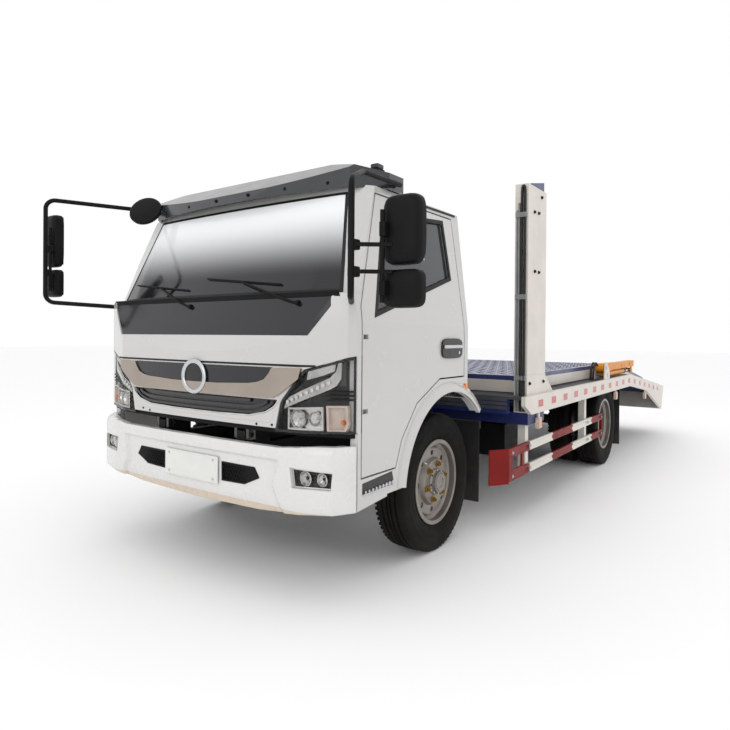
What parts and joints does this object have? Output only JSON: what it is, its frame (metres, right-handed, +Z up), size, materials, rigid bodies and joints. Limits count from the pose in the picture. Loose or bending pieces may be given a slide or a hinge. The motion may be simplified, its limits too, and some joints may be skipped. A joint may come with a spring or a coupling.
{
  "type": "flatbed recovery truck",
  "caption": "Cab-over flatbed recovery truck with a sloping tail, a lifting upper deck between posts and rear swing arms",
  "frame": {"origin": "on the ground, midway along the overall length and across the width", "axes": "+X to the vehicle's left side, +Y to the rear, +Z up; the front faces -Y"},
  "size_m": [3.046, 7.698, 2.516],
  "materials": {
    "white_paint": "gloss",
    "glass": "gloss",
    "dark_panel": "gloss",
    "black_plastic": "matte",
    "lamp_lens": "gloss",
    "chrome": "polished",
    "interior": "matte",
    "seat_cloth": "matte",
    "frame_steel": "satin",
    "cast": "matte",
    "tank_metal": "satin",
    "navy_paint": "satin",
    "deck_grey": "matte",
    "cream_paint": "gloss",
    "red_paint": "satin",
    "orange_paint": "gloss",
    "rod_steel": "polished",
    "wheel_paint": "satin",
    "tyre_rubber": "matte",
    "flap_rubber": "matte",
    "amber_lens": "gloss",
    "red_lens": "gloss"
  },
  "bodies": {
    "chassis": {"bumper": "white_paint", "bumper_grilles": "black_plastic", "fog_lamps": "lamp_lens", "number_plate": "white_paint", "chassis_frame": "frame_steel", "engine_block": "cast", "front_axle_beam": "cast", "leaf_springs": "frame_steel", "rear_axle": "cast", "battery_box": "black_plastic", "tanks": "tank_metal", "silencer": "tank_metal", "bed_frame": "navy_paint", "lower_deck": "deck_grey", "side_rails": "cream_paint", "lift_posts": "cream_paint", "arm_clevises": "cream_paint", "side_guards": "red_paint", "mudflaps": "flap_rubber", "marker_lamps": "amber_lens", "tail_lamps": "red_lens"},
    "cab": {"cab_shell": "white_paint", "cab_glass": "glass", "cowl_panel": "dark_panel", "grille": "dark_panel", "headlamps": "lamp_lens", "chrome_band": "chrome", "visor": "dark_panel", "dashboard": "interior", "seats": "seat_cloth", "mirror_frames": "black_plastic", "mirror_heads": "black_plastic"},
    "steering_wheel": {"steering_wheel": "interior"},
    "door_left": {"door_left": "white_paint", "door_glass_left": "glass"},
    "door_right": {"door_right": "white_paint", "door_glass_right": "glass"},
    "knuckle_left": {"knuckle_left": "cast"},
    "knuckle_right": {"knuckle_right": "cast"},
    "front_wheel_left": {"front_tyre_left": "tyre_rubber", "front_rim_left": "wheel_paint"},
    "front_wheel_right": {"front_tyre_right": "tyre_rubber", "front_rim_right": "wheel_paint"},
    "rear_wheels_left": {"rear_tyres_left": "tyre_rubber", "rear_rims_left": "wheel_paint"},
    "rear_wheels_right": {"rear_tyres_right": "tyre_rubber", "rear_rims_right": "wheel_paint"},
    "upper_deck": {"upper_deck": "navy_paint"},
    "arm_left": {"swing_arm_left": "orange_paint"},
    "arm_right": {"swing_arm_right": "orange_paint"},
    "tube_left": {"cylinder_tube_left": "rod_steel"},
    "tube_right": {"cylinder_tube_right": "rod_steel"},
    "rod_left": {"cylinder_rod_left": "rod_steel"},
    "rod_right": {"cylinder_rod_right": "rod_steel"}
  },
  "joints": [
    {"name": "cab_tilt", "type": "hinge", "parent": "chassis", "child": "cab", "pos_m": [0, -3.551, 0.8], "axis": [1, 0, 0], "range_deg": [0, 45]},
    {"name": "door_left_hinge", "type": "hinge", "parent": "cab", "child": "door_left", "pos_m": [1.016, -3.407, 1.145], "axis": [0, 0, -1], "range_deg": [0, 65]},
    {"name": "door_right_hinge", "type": "hinge", "parent": "cab", "child": "door_right", "pos_m": [-1.016, -3.407, 1.145], "axis": [0, 0, 1], "range_deg": [0, 65]},
    {"name": "steering_wheel_turn", "type": "hinge", "parent": "cab", "child": "steering_wheel", "pos_m": [0.6, -3.051, 1.44], "axis": [0, 0.5299, 0.848], "range_deg": [-420, 420]},
    {"name": "steer_left", "type": "hinge", "parent": "chassis", "child": "knuckle_left", "pos_m": [0.735, -2.491, 0.4275], "axis": [0, 0, 1], "range_deg": [-35, 35]},
    {"name": "steer_right", "type": "hinge", "parent": "chassis", "child": "knuckle_right", "pos_m": [-0.735, -2.491, 0.4275], "axis": [0, 0, 1], "range_deg": [-35, 35]},
    {"name": "front_wheel_left_spin", "type": "hinge", "parent": "knuckle_left", "child": "front_wheel_left", "pos_m": [0.858, -2.491, 0.4275], "axis": [1, 0, 0], "continuous": true},
    {"name": "front_wheel_right_spin", "type": "hinge", "parent": "knuckle_right", "child": "front_wheel_right", "pos_m": [-0.858, -2.491, 0.4275], "axis": [1, 0, 0], "continuous": true},
    {"name": "rear_wheels_left_spin", "type": "hinge", "parent": "chassis", "child": "rear_wheels_left", "pos_m": [0.914, 0.859, 0.4275], "axis": [1, 0, 0], "continuous": true},
    {"name": "rear_wheels_right_spin", "type": "hinge", "parent": "chassis", "child": "rear_wheels_right", "pos_m": [-0.914, 0.859, 0.4275], "axis": [1, 0, 0], "continuous": true},
    {"name": "deck_lift", "type": "slide", "parent": "chassis", "child": "upper_deck", "axis": [0, 0, 1], "range_m": [0, 1.2]},
    {"name": "arm_left_swing", "type": "hinge", "parent": "chassis", "child": "arm_left", "pos_m": [1.165, 0.569, 1.032], "axis": [1, 0, 0], "range_deg": [0, 50]},
    {"name": "tube_left_pivot", "type": "hinge", "parent": "chassis", "child": "tube_left", "pos_m": [1.165, 0.629, 0.959], "axis": [1, 0, 0], "range_deg": [0, 52]},
    {"name": "rod_left_slide", "type": "slide", "parent": "tube_left", "child": "rod_left", "axis": [0, 1, 0], "range_m": [0, 0.08]},
    {"name": "arm_right_swing", "type": "hinge", "parent": "chassis", "child": "arm_right", "pos_m": [-1.165, 0.569, 1.032], "axis": [1, 0, 0], "range_deg": [0, 50]},
    {"name": "tube_right_pivot", "type": "hinge", "parent": "chassis", "child": "tube_right", "pos_m": [-1.165, 0.629, 0.959], "axis": [1, 0, 0], "range_deg": [0, 52]},
    {"name": "rod_right_slide", "type": "slide", "parent": "tube_right", "child": "rod_right", "axis": [0, 1, 0], "range_m": [0, 0.08]}
  ],
  "couplings": [
    {"joint": "steer_right", "follows": "steer_left", "ratio": 1},
    {"joint": "steering_wheel_turn", "follows": "steer_left", "ratio": 12},
    {"joint": "tube_left_pivot", "follows": "arm_left_swing", "ratio": 1.023},
    {"joint": "tube_right_pivot", "follows": "arm_right_swing", "ratio": 1.023},
    {"joint": "rod_left_slide", "follows": "arm_left_swing", "m_per_rad": 0.087},
    {"joint": "rod_right_slide", "follows": "arm_right_swing", "m_per_rad": 0.087}
  ]
}
